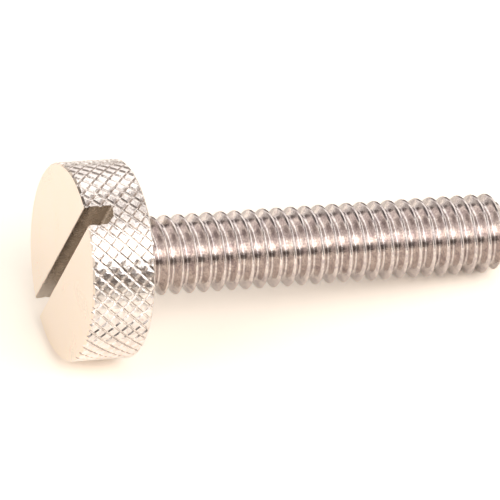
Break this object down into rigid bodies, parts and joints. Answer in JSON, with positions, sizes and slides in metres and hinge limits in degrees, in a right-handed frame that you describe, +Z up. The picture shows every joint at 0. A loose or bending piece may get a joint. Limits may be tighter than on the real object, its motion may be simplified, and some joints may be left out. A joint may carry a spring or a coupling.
{
  "type": "thumb screw",
  "caption": "Slotted thumb screw with a diamond-knurled disc head and a fully threaded shank.",
  "frame": {"origin": "centre of the bearing face under the head", "axes": "+X along the screw as it lies, towards the tip, with the screw's own axis dipping 8.61 degrees below +X; +Y across the screw; +Z up from the surface it lies on"},
  "size_m": [0.0145, 0.006, 0.0062],
  "materials": {
    "plated_metal": "bright nickel plate with a warm tone"
  },
  "bodies": {
    "root": {"thumb_screw": "plated_metal"}
  },
  "joints": []
}
